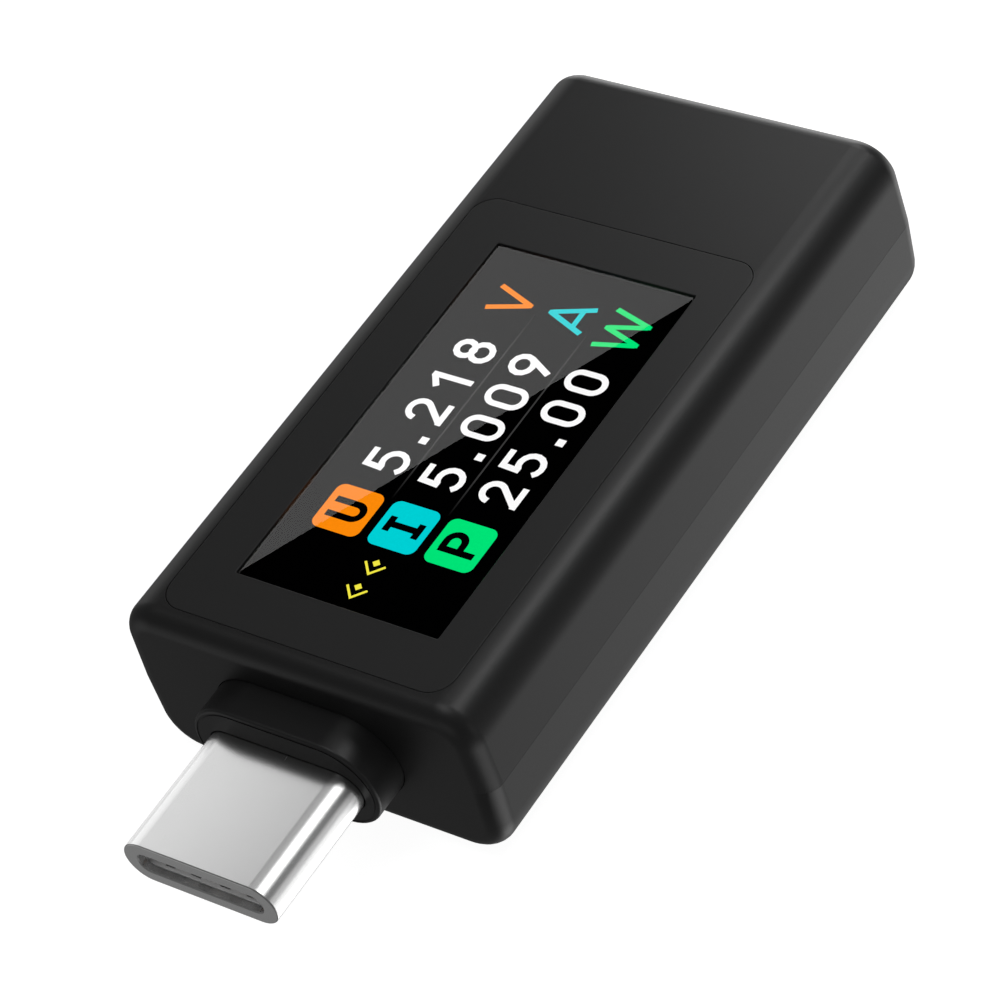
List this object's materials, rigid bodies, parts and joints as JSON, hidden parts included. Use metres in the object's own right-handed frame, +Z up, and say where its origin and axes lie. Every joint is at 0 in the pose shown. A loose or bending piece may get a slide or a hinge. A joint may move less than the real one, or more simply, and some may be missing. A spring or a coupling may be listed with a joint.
{
  "type": "usb power meter",
  "caption": "Slim black inline tester with a colour read-out under a flush bezel, a USB-C plug on one end and a USB-C socket in the other.",
  "frame": {"origin": "bottom centre of the bounding box, on the plane of the casing's underside", "axes": "+X across the width, to the right when the read-out faces up and the plug points away from +Y; +Y from the plug end to the socket end; +Z up out of the read-out"},
  "size_m": [0.0194, 0.0464, 0.0092],
  "materials": {
    "casing": "moulded black plastic with a fine satin texture",
    "bezel": "flat matte black face plate",
    "lens": "clear polished window",
    "adhesive": "thin black bonding film",
    "display_glass": "dark glossy display glass",
    "light_guide": "milky clear light guide",
    "display_frame": "off-white moulded frame",
    "flex": "amber polyimide film",
    "foam": "soft black foam",
    "board": "green solder mask over laminate",
    "chip": "moulded black chip body",
    "soldered_metal": "tinned metal",
    "ceramic": "fired tan ceramic",
    "connector_shell": "drawn stainless shell with a soft satin sheen",
    "spring_steel": "bright spring steel",
    "gold": "gold-plated contact alloy",
    "insulator": "black moulded connector plastic"
  },
  "bodies": {
    "meter": {"upper_shell": "casing", "lower_shell": "casing", "plug_collar": "casing", "display_bezel": "bezel", "display_lens": "lens", "bezel_adhesive": "adhesive", "display_front_glass": "display_glass", "display_rear_glass": "display_glass", "display_driver_chip": "chip", "backlight_frame": "display_frame", "backlight_guide": "light_guide", "display_flex": "flex", "foam_pad_front": "foam", "foam_pad_rear": "foam", "main_board": "board", "microcontroller": "chip", "metering_chip": "chip", "flash_chip": "chip", "clock_crystal": "soldered_metal", "shunt_resistor": "soldered_metal", "power_inductor": "chip", "surge_diode": "chip", "voltage_regulator": "chip", "bulk_capacitor_input": "ceramic", "bulk_capacitor_output": "ceramic", "filter_capacitor_1": "ceramic", "filter_capacitor_2": "ceramic", "filter_capacitor_3": "ceramic", "filter_capacitor_4": "ceramic", "sense_resistor_1": "chip", "sense_resistor_2": "chip", "plug_shell": "connector_shell", "plug_insulator": "insulator", "plug_rear_housing": "insulator", "plug_mid_plate": "spring_steel", "plug_tails_upper": "gold", "plug_tails_lower": "gold", "plug_grounding_spring_upper": "spring_steel", "plug_grounding_spring_lower": "spring_steel", "socket_shell": "connector_shell", "socket_housing": "insulator", "socket_mid_plate": "spring_steel", "socket_contacts_upper": "gold", "socket_contacts_lower": "gold", "socket_grounding_ring": "spring_steel"},
    "latch_right": {"plug_latch_right": "spring_steel"},
    "latch_left": {"plug_latch_left": "spring_steel"},
    "contacts_upper": {"plug_contacts_upper": "gold"},
    "contacts_lower": {"plug_contacts_lower": "gold"}
  },
  "joints": [
    {"name": "latch_right_flex", "type": "hinge", "parent": "meter", "child": "latch_right", "pos_m": [0.00337, -0.01545, 0.0044], "axis": [0, 0, 1], "range_deg": [0, 2.8]},
    {"name": "latch_left_flex", "type": "hinge", "parent": "meter", "child": "latch_left", "pos_m": [-0.00337, -0.01545, 0.0044], "axis": [0, 0, -1], "range_deg": [0, 2.8]},
    {"name": "contacts_upper_flex", "type": "hinge", "parent": "meter", "child": "contacts_upper", "pos_m": [0, -0.01633, 0.00497], "axis": [-1, 0, 0], "range_deg": [0, 1.8]},
    {"name": "contacts_lower_flex", "type": "hinge", "parent": "meter", "child": "contacts_lower", "pos_m": [0, -0.01633, 0.00383], "axis": [1, 0, 0], "range_deg": [0, 1.8]}
  ]
}
